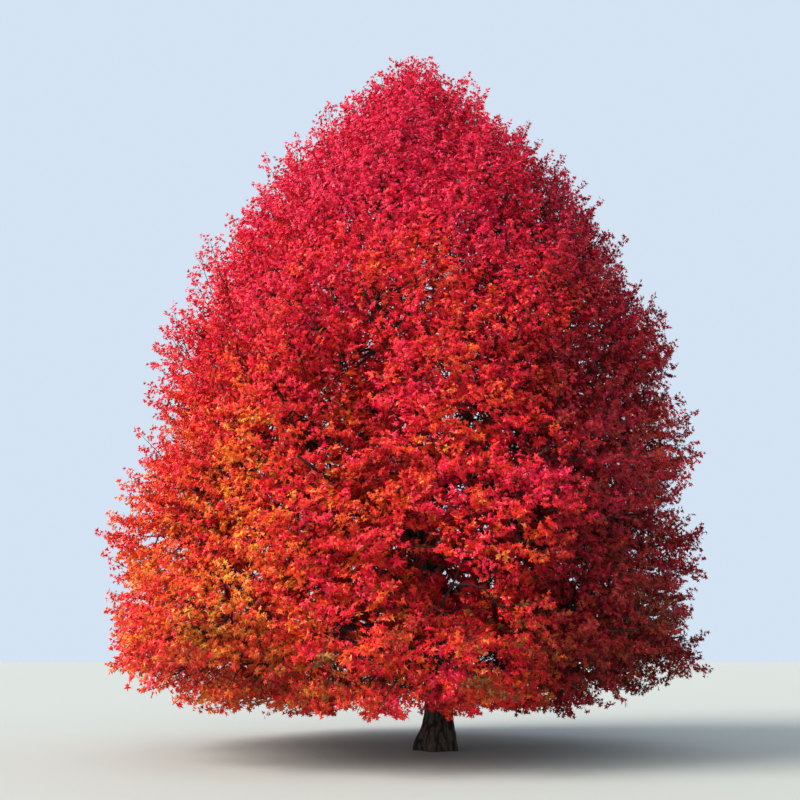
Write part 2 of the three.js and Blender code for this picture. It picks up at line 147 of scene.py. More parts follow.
# Uneven depth in lumps, each with its size and how deep it is, about a middle depth
LUMPS = {"sizes": ((1.9, 0.24), (0.55, 0.12)), "middle": 0.2, "shift": 7.3}
# The upper crown is a little slimmer than its outline, on the left most, fully so from this far left on
SLIM = {"from": 7.0, "to": 9.5, "depth": 0.04, "left": 0.12, "far_left": -2}
# Gaps and hollows between the boughs, and swells as negative depths, each by its bearing in degrees from
# the front towards the right, its height, its radius and its depth. Each fades in between two shares of its
# radius. The back's and sides' go by a rule.
GAP_EDGE = {"outer": 1.5, "inner": 0.9}
GAPS = (
    (2, 2.8, 0.6, 1.8), (10, 2.3, 0.4, 1.4), (14, 2.35, 0.36, 1.4), (-2, 1.2, 0.4, 1.4),
    (10, 5.0, 0.3, 1.0), (-8, 2.2, 0.3, 1.3), (-12, 2.15, 0.24, 1.2), (-15, 1.85, 0.26, 1.2),
    (-10, 1.75, 0.22, 1.0), (2, 1.7, 0.22, 1.0), (4, 1.3, 0.22, 1.0), (14, 1.2, 0.36, 1.0),
    (18, 1.25, 0.34, 1.0), (26, 1.7, 0.3, 0.9), (-15, 5.3, 0.24, 0.9), (-10, 4.0, 0.26, 1.0),
    (-14, 2.25, 0.26, 0.9), (-20, 3.1, 0.22, 0.9), (8, 3.9, 0.26, 0.9), (21, 1.5, 0.28, 0.9),
    (19, 3.2, 0.26, 0.9), (49, 6.4, 0.26, 0.9), (30, 2.4, 0.26, 0.9), (-14, 6.4, 0.7, 0.5),
    (-17, 5.5, 0.8, 0.6), (-11, 4.2, 0.8, 0.6), (-73, 5.0, 0.5, 0.3), (-72, 6.8, 1.2, -0.15),
    (73, 6.4, 1.6, -0.4), (20, 3.7, 0.8, -0.3), (17, 1.9, 0.8, -0.25), (-73, 2.0, 1.5, -0.35),
    (-50, 1.6, 1.2, -0.3), (24, 0.95, 0.7, 0.3), (42, 1.0, 0.9, 0.35), (62, 1.1, 1.0, 0.45),
    (80, 1.3, 1.0, 0.5), (-6, 0.8, 0.5, -0.4),
)
OTHER_GAPS = {"count": 30, "front": 55, "heights": (1.2, 8.0), "radius": (0.22, 0.4), "depth": 0.95}
TWIG = {"tip": 0.004, "taper": 0.0075, "bow": 0.07, "bow_up": 0.35, "rings": 3, "sides": 3}
# Shoots stand along this share of a branchlet, on both sides of it, from the longest to the shortest. Every
# third one rises and the others drop a little, and all are somewhat uneven.
SHOOTS = {"per_branchlet": 7, "along": 0.85, "spread": 0.95, "lengths": (0.44, 0.22), "radius": 0.004,
          "lifts": (0.35, -0.1, -0.1), "uneven": 0.3, "uneven_lift": 0.6}
# Which way the plate that a branchlet's shoots lie in faces, and how loose it is, in the upper crown and then
# low down, where it lies level
PLATE = {"up": (0.7, 1.0), "outward": (0.5, 0.3), "loose": (1, 0.8)}
# Shoots that would end further than this outside the solids' box are left out
BOX_MARGIN = 0.16

# A leaf: five lobes of three creased triangles, each tip told by its angle from the front, its length and
# its drop. The front lobe stands on a narrow foot. Each other triangle is a pair of lobes that meet in a
# point, at the leaf's root or a little ahead of its middle.
FRONT_LOBE = (0, 0.62, 0.30)
SIDE_LOBE = (1.22, 0.58, 0.42)
BACK_LOBE = (2.25, 0.44, 0.08)
FRONT_FOOT = {"width": 0.15, "behind": 0.05}
LEAF_NOTCH = 0.12
BACK_ROOT = 0.1
# A leaf hangs off its shoot by this share of its length, with a stalk on the outermost sprays, whose depth is
# under the one given
STALK = {"length": 0.45, "width": 0.018}
STALKED_DEPTH = -0.04
LEAF_DROOP = (0.1, 1.0)
# Leaves stand on a shoot from this share of its length on, a golden turn apart. Each points along the shoot,
# away from it and down by these amounts, and the last one hardly away from it.
LEAF_AIM = {"from": 0.12, "along": 0.6, "away": 0.85, "last_away": 0.1, "down": 0.5}
# A spray's leaves face roughly one way: outwards and up, turned by a share for the whole spray
LEAF_FACING = {"outward": 0.8, "up": 0.4, "spray": 0.4}
LEAF_FINISH = {"Roughness": 0.5, "Specular IOR Level": 0.17}

PIECE_TRIANGLES = 190000

# Leaf tints: ramps from bright to dark, each from cool to warm, into how many steps they are cut, and the
# highest that the two hues may be, just inside the last step. The darker ramps are shaded copies of the
# bright one, which carry the painted shade as well as darker sprays.
TINT_RAMPS = (
    ((0.66, 0.008, 0.066), (0.70, 0.008, 0.038), (0.72, 0.020, 0.014), (0.74, 0.095, 0.010),
     (0.70, 0.26, 0.018)),
    ((0.50, 0.005, 0.042), (0.54, 0.005, 0.022), (0.54, 0.014, 0.009), (0.50, 0.060, 0.007),
     (0.42, 0.16, 0.012)),
    ((0.24, 0.003, 0.023), (0.26, 0.003, 0.014), (0.25, 0.008, 0.008), (0.18, 0.030, 0.006),
     (0.13, 0.05, 0.008)),
)
TINT_STEPS = {"dark": 5, "warm": 9}
HIGHEST_HUE = 0.999
# The ramp of leaf parts that catch the light, and their share among so many of the brightest steps
GLINT_RAMP = (
    (0.84, 0.08, 0.16), (0.86, 0.08, 0.11), (0.87, 0.11, 0.07), (0.88, 0.27, 0.06), (0.86, 0.46, 0.10),
)
GLINTS = {"share": 0.09, "steps": 2}
# How warm and how dark the leaves are, from 0 to 1, everywhere and by zone. The darkness on the right, deep
# inside the crown and at its foot is painted shade. A zone grows from none to full between two shares of the
# crown's radius across it, of the tree's height, or between two depths in metres.
ZONES = {"left": (0.15, -0.6), "right": (0.05, 0.6), "foot": (0.35, 0.1), "low": (0.55, 0.25),
         "lower": (0.7, 0.35), "top": (0.4, 0.8), "inside": (0.6, 1.5)}
WARMTH = {"all": 0.38, "top": -0.24, "low_left": 0.18, "foot": 0.1}
DARKNESS_AND_PAINTED_SHADE = {"all": 0.08, "right": 0.7, "inside": 0.45, "foot": 0.2}
# Patches of warmer and of darker sprays, each by its size, its shift, how strong it is everywhere, and how
# much more so in the lower crown
WARM_PATCHES = ((0.9, 3.1, 0.16, 0.0), (0.38, 5.3, 0.0, 0.3))
DARK_PATCHES = ((0.8, 11.9, 0.14, 0.0), (0.42, 8.8, 0.1, 0.18))
# Places where sprays are warmer and cooler in tint and where shading is painted into them, each by its
# bearing, its height, its radius, how much warmer they are, and how much darker: painted shade in hollows,
# valleys and shaded parts, and painted light on lobes that stand out where it is negative. Each is fully so
# within this share of the radius
TINT_PLACE_CORE = 0.4
TINT_AND_PAINTED_SHADING_PLACES = (
    (2, 7.4, 1.7, 0.14, -0.1), (9, 5.2, 1.4, 0.14, 0.0), (16, 2.4, 1.1, 0.16, 0.1),
    (-28, 4.9, 1.4, 0.1, 0.0), (-34, 1.0, 1.9, 0.14, 0.45), (-41, 3.4, 2.2, 0.08, 0.0),
    (-15, 6.6, 0.7, -0.3, 0.8), (-17, 5.6, 0.8, -0.35, 1.0), (-12, 4.2, 0.8, -0.35, 1.0),
    (42, 2.2, 2.4, 0.05, 0.4), (15, 1.2, 0.9, 0.25, 0.8), (-2, 1.25, 0.55, 0.2, 0.9),
    (5, 1.35, 0.45, 0.2, 0.9), (2, 2.8, 0.7, 0.0, 0.6), (12, 2.3, 0.6, 0.1, 0.6),
    (-14, 1.3, 0.7, 0.2, 0.6), (0, 1.6, 1.1, 0.05, 0.5), (9, 1.0, 0.7, 0.05, 0.5),
    (5, 4.6, 1.5, 0.0, -0.2), (36, 5.2, 2.0, 0.0, 0.25), (3, 5.0, 1.0, -0.16, -0.2),
    (20, 3.6, 0.9, -0.05, -0.3), (18, 1.8, 0.7, 0.0, -0.4), (2, 0.9, 0.6, -0.15, -0.5),
    (168, 4.0, 1.9, 0.14, 0.0), (120, 2.4, 1.4, 0.14, 0.0), (-130, 3.0, 1.8, 0.12, 0.0),
    (-160, 6.0, 0.9, -0.3, 0.7),
)
# Leaves of one tint come this many together. Tints vary by shoot, by spray within it, and a little between
# a leaf's creased parts.
SPRAY_LEAVES = 3
TINT_SPECKLE = {"shoot": (0.12, 0.08), "spray": (0.32, 0.14), "part": (0.18, 0.12)}
WOOD_TINTS = (("twig", (0.014, 0.009, 0.007)), ("shoot", (0.08, 0.022, 0.016)))
WOOD_FINISH = {"Roughness": 0.8, "Specular IOR Level": 0.3}
# Bark: its plain tint and finish, its grain and how fine that is across and along the limb, the colours from
# furrow to ridge with their places on the ramp, how much a furrow takes off, and the grain's own relief
BARK_TINT = (0.045, 0.030, 0.024)
BARK_FINISH = {"Roughness": 0.9, "Specular IOR Level": 0.25}
BARK_GRAIN = {"Scale": 1.0, "Detail": 5, "Roughness": 0.65}
BARK_STRETCH = (38, 38, 6)
BARK_RAMP = ((0.0, (0.010, 0.007, 0.006)), (0.4, (0.045, 0.031, 0.025)), (0.75, (0.115, 0.086, 0.070)))
BARK_HOLLOW = 0.55
BARK_BUMP = {"Strength": 0.7, "Distance": 0.012}

# The camera stands where the photo was taken from, at eye height, tilted up by so many degrees
CAMERA = {"lens": 45, "sensor": 36, "place": (-0.63, -18.15, 1.55), "tilt": 14.41}
FLOOR = {"half": 300, "colour": (0.40, 0.41, 0.38)}
FLOOR_FINISH = {"Roughness": 0.9, "Specular IOR Level": 0.2}
SURROUND = {"Color": (0.66, 0.77, 0.90, 1), "Strength": 1.0}
# Suns: a soft key from the front left and a fill, each by its strength, its angular width, its tilt from
# overhead and its turn, in degrees
LIGHTS = {"key": (6.0, 40, 58, -64), "fill": (1.2, 60, 70, -8)}
LIGHT_COLOUR = (1.0, 0.96, 0.9)


def seeded(seed):
    """Seeded random numbers from 0 to 1, the same as the source's."""
    state = ((seed + 1) * SERIES["start"]) % SERIES["range"]
    while True:
        state = (state * SERIES["times"] + SERIES["plus"]) % SERIES["range"]
        yield state / SERIES["range"]


def unit(vectors):
    return vectors / np.maximum(np.linalg.norm(vectors, axis=-1, keepdims=True), 1e-9)


def lerp(low, high, share):
    return low + (high - low) * share


def smooth(low, high, values):
    """A share that eases from 0 at one value to 1 at the other."""
    share = np.clip((values - low) / (high - low), 0, 1)
    return share * share * (3 - 2 * share)


def scattered(random, *shape):
    """Random numbers from -0.5 to 0.5."""
    return random.random(shape) - 0.5


def noise_at(points, scale, shift=0.0):
    """Smooth noise from about -1 to 1 at each point; scale is one size or one for each axis."""
    scaled = np.asarray(points) / np.asarray(scale) + shift
    return np.array([noise.noise(point) for point in scaled.tolist()])


def crown_radius(z):
    z = np.asarray(z, dtype=float)
    above = z > WIDEST_HEIGHT
    span = np.where(above, TREE_HEIGHT - WIDEST_HEIGHT, WIDEST_HEIGHT - CROWN_FOOT)
    power = np.where(above, CLOSE_ABOVE["power"], CLOSE_BELOW["power"])
    root = np.where(above, CLOSE_ABOVE["root"], CLOSE_BELOW["root"])
    share = np.clip(np.abs(z - WIDEST_HEIGHT) / span, 0, 1)
    return CROWN_RADIUS * (1 - share**power) ** root


def swell(angle, z):
    waves = [s["share"] * np.sin(s["round"] * angle + s["per_metre"] * z + s["phase"]) for s in SWELLS]
    return 1 + sum(waves)


def on_crown(angle, z, share):
    """The point at a bearing and height, at a share of the crown's radius there."""
    radius = crown_radius(z) * share
    across = np.stack([radius * np.cos(angle), radius * np.sin(angle), np.asarray(z) + 0 * radius], axis=-1)
    return across + CROWN_CENTRE


def crown_place(bearing, height):
    """The point on the crown at a bearing in degrees from the front towards the right."""
    return on_crown(math.radians(bearing - 90), height, 1)


def from_crown_axis(points):
    return np.hypot(points[..., 0] - CROWN_CENTRE[0], points[..., 1])


def outward_at(points):
    """The direction square to the crown's outline at each point's height and bearing."""
    z, step = points[..., 2], OUTWARD["step"]
    radius = np.maximum(from_crown_axis(points), 1e-3)
    slope = (crown_radius(z - step) - crown_radius(z + step)) / (2 * step)
    rise = np.clip(slope, OUTWARD["least"], OUTWARD["most"])
    level = (points - CROWN_CENTRE)[..., :2] / radius[..., None]
    return unit(np.concatenate([level, rise[..., None]], axis=-1))


@dataclass
class Mass:
    """One mass of foliage: its name, tier, bearing, middle, and where its bough leaves the trunk."""

    name: str
    tier: dict
    turn: float
    middle: np.ndarray
    foot: float


def place_masses():
    """The masses of each tier, all round with a little scatter, and the top."""
    placed = []
    for level, tier in enumerate(TIERS):
        for i in range(tier["count"]):
            random = seeded(TIER_STEP["seed"] * level + i)
            offset = i + TIER_STEP["turn"] * (level % 2) + SCATTER["turn"] * (next(random) - 0.5)
            turn = offset * FULL_TURN / tier["count"]
            height = tier["height"] + SCATTER["height"] * (2 * next(random) - 1)
            share = tier["share"] + SCATTER["share"] * (2 * next(random) - 1)
            foot = tier["foot"] + tier["spread"] * ((i * GOLDEN_TURN / FULL_TURN) % 1)
            name = f"{tier['name']}_{i + 1}"
            placed.append(Mass(name, tier, turn, on_crown(turn, height, share), foot))
    middle = CROWN_CENTRE + UP * TOP["height"]
    placed.append(Mass(TOP["name"], None, 0.0, middle, TRUNK["height"]))
    return placed


masses = place_masses()
middles = np.array([mass.middle for mass in masses])


def nearest_mass(points):
    """The number of the mass whose middle is nearest, and how much further away the next one is."""
    away = np.linalg.norm(points[:, None, :] - middles[None], axis=2)
    order = np.argsort(away, axis=1)[:, :2]
    near, next_near = np.take_along_axis(away, order, axis=1).T
    return order[:, 0], next_near - near


def outline_radius(points, lead):
    angle = np.arctan2(points[:, 1], points[:, 0] - CROWN_CENTRE[0])
    cleft = CLEFT["share"] * (1 - np.minimum(1, lead / CLEFT["width"])) ** 2
    return crown_radius(points[:, 2]) * swell(angle, points[:, 2]) * (1 - cleft)


def in_crown(points):
    """Whether each point is inside the outline and outside the bare middle."""
    nearest, lead = nearest_mass(points)
    radius = from_crown_axis(points)
    z = points[:, 2]
    inside = (radius <= outline_radius(points, lead)) & (z > CROWN_FOOT) & (z < TREE_HEIGHT)
    tiered = np.array([mass.tier is not None for mass in masses])[nearest]
    return inside & (~tiered | (radius > BARE_SHARE * crown_radius(z)))


def reach_of(mass, direction, step=0.04, most=4.0):
    """How far a mass's space reaches from its middle in a direction."""
    distances = np.arange(step, most, step)
    points = mass.middle + distances[:, None] * direction
    own = (nearest_mass(points)[0] == masses.index(mass)) & in_crown(points)
    return step * (len(own) if own.all() else int(np.argmin(own)))


def trunk_centre(z):
    z = np.asarray(z, dtype=float)
    lean = LEAN["start"] + LEAN["x"] * (1 - np.exp(-((z / LEAN["height"]) ** 2)))
    return np.stack([lean, 0 * z, z], axis=-1)


def trunk_radius(z, angle):
    turn = angle - FLARE["heel_turn"]
    stem = lerp(TRUNK["tip"], TRUNK["foot"], (1 - z / TRUNK["height"]) ** TRUNK["taper"])
    flare = FLARE["radius"] * np.exp(-((z / FLARE["height"]) ** 2)) * (1 + FLARE["heel"] * np.cos(turn))
    lobes = FLARE["share"] * np.exp(-z / FLARE["lobe_height"]) * np.cos(FLARE["lobes"] * turn)
    return (stem + flare) * (1 + lobes)


def from_trunk_axis(points):
    return np.linalg.norm((points - trunk_centre(points[:, 2]))[:, :2], axis=1)


def bezier(corners, count):
    """So many points along the curve that four corners tell."""
    a, b, c, d = corners
    t = np.linspace(0, 1, count)[:, None]
    return (1 - t) ** 3 * a + 3 * (1 - t) ** 2 * t * b + 3 * (1 - t) * t**2 * c + t**3 * d


def bough_corners(mass):
    """A bough's line, from the trunk's middle to where it enters its mass."""
    start = trunk_centre(mass.foot)
    end = on_crown(mass.turn, lerp(mass.foot, mass.middle[2], BOUGH["rise"]), ENTRY_SHARE)
    run = math.hypot(*(end - start)[:2])
    leaving = np.array((math.cos(mass.turn), math.sin(mass.turn), mass.tier["lift"]))
    arriving = unit(mass.middle - end)
    return start, start + BOUGH["leave"] * run * leaving, end - BOUGH["arrive"] * run * arriving, end


def stem_corners(mass, tip, tangent):
    """The stem that goes on from the limb, through the middle of the mass."""
    outward = unit(mass.middle - tip)
    end = mass.middle + STEM["reach"] * reach_of(mass, outward) * outward
    lead = np.linalg.norm(end - tip) / 3
    return tip, tip + lead * tangent, end - lead * outward, end


def lengths_along(path):
    """How far along a path each of its points lies."""
    return np.append(0, np.cumsum(np.linalg.norm(np.diff(path, axis=0), axis=1)))


def squares_to(tangents):
    """Two directions square to each tangent, the first of them level."""
    level = np.cross(UP, tangents)
    steep = np.linalg.norm(level, axis=-1, keepdims=True) < UPRIGHT
    side = unit(np.where(steep, np.cross(np.array((0.0, 1.0, 0.0)), tangents), level))
    return side, np.cross(tangents, side)


def turns(sides):
    """Angles evenly round a full turn."""
    return np.arange(sides) * FULL_TURN / sides


def ring_directions(side, rise, sides):
    """Directions all round each point of a path, from two that are square to it."""
    turn = turns(sides)[:, None]
    return side[..., None, :] * np.cos(turn) + rise[..., None, :] * np.sin(turn)


def grid_triangles(rows, sides, count=1):
    """Triangles between the rings of round grids, each of rows rings of so many sides."""
    index = np.arange(count * rows * sides).reshape(count, rows, sides)
    low, high = index[:, :-1], index[:, 1:]
    low_next, high_next = np.roll(low, -1, axis=2), np.roll(high, -1, axis=2)
    first = np.stack([low, low_next, high_next], axis=-1).reshape(-1, 3)
    second = np.stack([low, high_next, high], axis=-1).reshape(-1, 3)
    return np.concatenate([first, second])


def tubes(paths, radii, sides):
    """Round tubes along (count, rings, 3) paths with (count, rings) radii."""
    ring = ring_directions(*squares_to(unit(np.gradient(paths, axis=1))), sides)
    points = paths[:, :, None] + radii[:, :, None, None] * ring
    return points.reshape(-1, 3), grid_triangles(paths.shape[1], sides, len(paths))


def cones(starts, ends, radius):
    """Three-sided shoots that run straight to a point."""
    ring = ring_directions(*squares_to(unit(ends - starts)), 3)
    points = np.concatenate([starts[:, None] + radius * ring, ends[:, None]], axis=1)
    faces = np.array(((0, 1, 3), (1, 2, 3), (2, 0, 3)))
    shift = points.shape[1] * np.arange(len(starts))[:, None, None]
    return points.reshape(-1, 3), (faces + shift).reshape(-1, 3)


def bowed(starts, ends, rings, bows):
    """Paths from start to end that bow by a vector in the middle."""
    share = np.linspace(0, 1, rings)[None, :, None]
    return lerp(starts[:, None], ends[:, None], share) + bows[:, None] * 4 * share * (1 - share)


class Parts:
    """Points, triangles and one number a triangle, gathered for one piece."""

    def __init__(self):
        self.points, self.triangles, self.numbers, self.size = [], [], [], 0

    def add(self, points, triangles, number):
        self.points.append(points)
        self.triangles.append(triangles + self.size)
        self.numbers.append(np.broadcast_to(number, len(triangles)))
        self.size += len(points)

    def joined(self):
        return np.concatenate(self.points), np.concatenate(self.triangles), np.concatenate(self.numbers)


def add_object(name, data):
    """A new object in the scene's own collection."""
    added = bpy.data.objects.new(name, data)
    bpy.context.scene.collection.objects.link(added)
    return added


def mesh_piece(name, points, triangles, numbers, materials, slot, nodes):
    """A piece on the root body, from arrays; numbers say which material each triangle has."""
    mesh = bpy.data.meshes.new(name)
    mesh.vertices.add(len(points))
    mesh.vertices.foreach_set("co", np.ascontiguousarray(points, dtype=np.float32).ravel())
    mesh.loops.add(3 * len(triangles))
    mesh.loops.foreach_set("vertex_index", np.ascontiguousarray(triangles, dtype=np.int32).ravel())
    mesh.polygons.add(len(triangles))
    mesh.polygons.foreach_set("loop_start", np.arange(0, 3 * len(triangles), 3, dtype=np.int32))
    for material in materials:
        mesh.materials.append(material)
    mesh.polygons.foreach_set("material_index", np.ascontiguousarray(numbers, dtype=np.int32))
    mesh.polygons.foreach_set("use_smooth", np.full(len(triangles), slot == "bark"))
    mesh.update(calc_edges=True)
    piece = add_object(name, mesh)
    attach(piece, "root")
    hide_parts(*nodes)
    return piece


def furrows(across, along, depth):
    """Bark relief: how far each point is raised in metres, and how far it lies in a furrow, from 0 to 1."""
    skin = np.column_stack([across, along])
    values = noise_at(skin, (FURROWS["width"], FURROWS["width"], FURROWS["length"]))
    inside = 1 - smooth(0, FURROWS["edge"], np.abs(values))
    lumps = noise_at(skin, FURROWS["width"] * BARK_LUMPS["size"], BARK_LUMPS["shift"])
    return depth * (-inside + BARK_LUMPS["depth"] / FURROWS["depth"] * lumps), inside


def round_surface(centres, side, rise, radii, sides, along):
    """A limb's skin with its relief: radii is (rings, sides)."""
    turn = turns(sides)
    mean = radii.mean(axis=1, keepdims=True)
    across = np.stack([mean * np.cos(turn), mean * np.sin(turn)], axis=-1).reshape(-1, 2)
    lengths = np.repeat(along, sides)
    depth = np.repeat(FURROWS["depth"] * mean[:, 0], sides)
    relief, inside = furrows(across, lengths, depth)
    radii = radii + relief.reshape(radii.shape)
    points = centres[:, None] + radii[:, :, None] * ring_directions(side, rise, sides)
    return points.reshape(-1, 3), grid_triangles(len(centres), sides), inside


def capped(points, triangles, inside, sides):
    """The same skin with a flat cap at each end."""
    first, last = np.arange(sides), np.arange(len(points) - sides, len(points))
    low, high = len(points), len(points) + 1
    points = np.vstack([points, points[first].mean(axis=0), points[last].mean(axis=0)])
    low_cap = np.stack([np.full(sides, low), np.roll(first, -1), first], axis=1)
    high_cap = np.stack([np.full(sides, high), last, np.roll(last, -1)], axis=1)
    return points, np.vstack([triangles, low_cap, high_cap]), np.append(inside, FURROWS["caps"])


def trunk_skin():
    """The trunk's skin, with its rings crowded near the ground."""
    share = np.linspace(0, 1, TRUNK_MESH["rings"]) ** TRUNK_MESH["crowding"]
    z = TRUNK["height"] * share
    sides = TRUNK_MESH["sides"]
    radii = trunk_radius(z[:, None], turns(sides)[None])
    side = np.tile((1.0, 0.0, 0.0), (len(z), 1))
    rise = np.tile((0.0, 1.0, 0.0), (len(z), 1))
    return capped(*round_surface(trunk_centre(z), side, rise, radii, sides, z), sides)


def limb_skin(path, radii, shift):
    """A bough's or a stem's skin, whose relief starts this far along the pattern."""
    sides = BOUGH_MESH["sides"]
    side, rise = squares_to(unit(np.gradient(path, axis=0)))
    radii = np.repeat(radii[:, None], sides, axis=1)
    along = lengths_along(path) + shift
    return capped(*round_surface(path, side, rise, radii, sides, along), sides)


def bough_path(mass):
    """The bough and its stem as one path with radii, from inside the trunk's skin outwards, and the stem."""
    bough = bezier(bough_corners(mass), BOUGH_MESH["rings"])
    tangent = unit(bough[-1] - bough[-2])
    stem = bezier(stem_corners(mass, bough[-1], tangent), BOUGH_MESH["stem_rings"])
    share = np.linspace(0, 1, len(bough))
    end_radius = BOUGH["tip_share"] * mass.tier["radius"]
    radii = lerp(mass.tier["radius"], end_radius, share)
    stem_radii = lerp(end_radius, STEM["tip_share"] * end_radius, np.linspace(0, 1, len(stem)))
    away = from_trunk_axis(bough)
    surface = trunk_radius(bough[:, 2], mass.turn)
    keep = away > COLLAR["sunk"] * surface
    keep[max(0, int(np.argmax(keep)) - 1)] = True
    radii = radii * (1 + COLLAR["share"] * np.exp(-np.maximum(away - surface, 0) / COLLAR["length"]))
    path = np.vstack([bough[keep], stem[1:]])
    return path, np.append(radii[keep], stem_radii[1:]), stem


def top_path(mass):
    """The stem of the top mass, which goes on from the trunk's tip, as a path with radii."""
    tip = trunk_centre(TRUNK["height"])
    stem = bezier(stem_corners(mass, tip, UP), BOUGH_MESH["stem_rings"])
    return stem, lerp(TRUNK["tip"], STEM["tip_share"] * TRUNK["tip"], np.linspace(0, 1, len(stem))), stem


def even_heights(count, levels=400):
    """Heights that share the crown's outer surface out evenly."""
    heights = np.linspace(CROWN_FOOT, TREE_HEIGHT, levels + 1)
    radii = crown_radius(heights)
    area = (radii[1:] + radii[:-1]) / 2 * np.hypot(np.diff(radii), np.diff(heights))
    below = np.append(0, np.cumsum(area))
    return np.interp((np.arange(count) + 0.5) / count * below[-1], below, heights)


def level_at(z):
    """How far the sprays lie level at a height, from 1 low down to 0 in the upper crown."""
    return smooth(*SHELVES["fade"], z)


def shaping(outline, z):
    """How much deeper the outer branchlets lie than their layer's depth: shelves, lumps and gaps."""
    right = smooth(*SHELVES["rightward"], outline[:, 0])
    wander = SHELVES["wander"] * noise_at(outline, SHELVES["wide"], SHELVES["shift"])
    between = smooth(*SHELVES["open"], np.abs(2 * ((z / SHELVES["pitch"] + wander) % 1) - 1))
    depth = SHELVES["most"] * lerp(SHELVES["on_left"], 1, right) * level_at(z) * between
    for size, most in LUMPS["sizes"]:
        depth += most * (LUMPS["middle"] - noise_at(outline, size, LUMPS["shift"]))
    left = smooth(0, SLIM["far_left"], outline[:, 0] - CROWN_CENTRE[0])
    depth += (SLIM["depth"] + SLIM["left"] * left) * smooth(SLIM["from"], SLIM["to"], z)
    for bearing, height, radius, most in (*GAPS, *other_gaps()):
        away = np.linalg.norm(outline - crown_place(bearing, height), axis=1)
        depth += most * smooth(GAP_EDGE["outer"] * radius, GAP_EDGE["inner"] * radius, away)
    return depth


def other_gaps():
    """Gaps on the sides and back, a golden turn apart."""
    random = np.random.default_rng(SEEDS["gaps"])
    count, front = OTHER_GAPS["count"], OTHER_GAPS["front"]
    for number in range(count):
        bearing = front + (number * math.degrees(GOLDEN_TURN)) % (360 - 2 * front)
        height = lerp(*OTHER_GAPS["heights"], (number + random.random()) / count)
        yield bearing, height, lerp(*OTHER_GAPS["radius"], random.random()), OTHER_GAPS["depth"]


def place_branchlets(number, random):
    """One layer of branchlets over the whole crown, a golden turn apart.

    Gives their tips, their directions, the outline's outward directions, their depths and their layer."""
    layer = LAYERS[number]
    count = layer["count"]
    order = np.arange(count)
    z = even_heights(count)
    angle = order * GOLDEN_TURN
    rough = on_crown(angle, z, 1)
    lead = nearest_mass(rough)[1]
    outline = on_crown(angle, z, outline_radius(rough, lead) / crown_radius(z))
    outward = outward_at(outline)
    depths = np.array(layer["depths"])
    depth = depths[order % len(depths)] + layer["scatter"] * random.random(count)
    depth += layer["shaped"] * shaping(outline, z)
    if number == 0:
        depth -= LEADERS["ahead"] * (order % LEADERS["every"] == 0)
    inset = lerp(INSET["side"], INSET["top"], smooth(INSET["from"], INSET["to"], z))
    inset = lerp(inset, INSET["under"], smooth(0.0, UNDERSIDE["facing"], outward[:, 2]))
    tips = outline - (inset + np.maximum(depth, LEAST_DEPTH))[:, None] * outward
    scatter = scattered(random, count, 3)
    lift = lerp(*BRANCHLETS["lift"], 1 - level_at(z))
    ahead = unit(outward + lift[:, None] * UP + BRANCHLETS["scatter"] * scatter)
    grows = (outward[:, 2] > UNDERSIDE["facing"]) | (random.random(count) < UNDERSIDE["share"])
    keep = in_crown(tips) & grows
    return tips[keep], ahead[keep], outward[keep], depth[keep], np.full(keep.sum(), number)


def grow_twigs(stem, targets):
    """Twigs from the stem to each target: each joins what has already grown, where the way back is short.

    Gives each twig's start and end, and how far the growth beyond each of them reaches."""
    along = lengths_along(stem)
    first = along[-1] * lerp(STEM["bare"], 1, np.arange(1, STEM["joints"] + 1) / STEM["joints"])
    total = STEM["joints"] + len(targets)
    points, path = np.zeros((total, 3)), np.zeros(total)
    parent, length, beyond = np.full(total, -1), np.zeros(total), np.zeros(total)
    for axis in range(3):
        points[: STEM["joints"], axis] = np.interp(first, along, stem[:, axis])
    path[: STEM["joints"]] = first
    order = np.argsort(np.linalg.norm(targets - stem[0], axis=1))
    for new, target in enumerate(targets[order], STEM["joints"]):
        away = np.linalg.norm(points[:new] - target, axis=1)
        joint = int(np.argmin(away + PATH_WEIGHT * path[:new]))
        points[new], parent[new], length[new] = target, joint, away[joint]
        path[new] = path[joint] + away[joint]
        further = length[new]
        while joint >= 0:
            beyond[joint] = max(beyond[joint], further)
            further += length[joint]
            joint = parent[joint]
    grown = np.arange(STEM["joints"], total)
    return points[parent[grown]], points[grown], beyond[grown] + length[grown], beyond[grown]


def leaf_template(stalk):
    """A leaf's points, told along, across and square to it from the shoot that it hangs on."""
    root = STALK["length"]
    middle = root + LEAF_NOTCH

    def lobe(angle, length, drop, side=1):
        return middle + length * math.cos(angle), side * length * math.sin(angle), -drop

    foot = middle - FRONT_FOOT["behind"]
    points = [lobe(*FRONT_LOBE), (foot, FRONT_FOOT["width"], 0), (foot, -FRONT_FOOT["width"], 0)]
    points += [lobe(*SIDE_LOBE), (root, 0, 0), lobe(*SIDE_LOBE, -1)]
    points += [lobe(*BACK_LOBE), lobe(*BACK_LOBE, -1), (middle + BACK_ROOT, 0, 0)]
    if stalk:
        points += [(0, STALK["width"], 0), (0, -STALK["width"], 0), (root, 0, 0)]
    return np.array(points), np.arange(len(points)).reshape(-1, 3)


def leaves(places, ahead, facing, sizes, droops, stalk):
    """Leaves as one set of points and triangles."""
    template, triangles = leaf_template(stalk)
    side = np.cross(facing, ahead)
    shape = template[:, 0, None] * ahead[:, None] + template[:, 1, None] * side[:, None]
    shape += template[:, 2, None] * (droops[:, None] * facing)[:, None]
    points = places[:, None] + sizes[:, None, None] * shape
    shift = np.arange(len(places))[:, None, None] * len(template)
    return points.reshape(-1, 3), (triangles + shift).reshape(-1, 3)


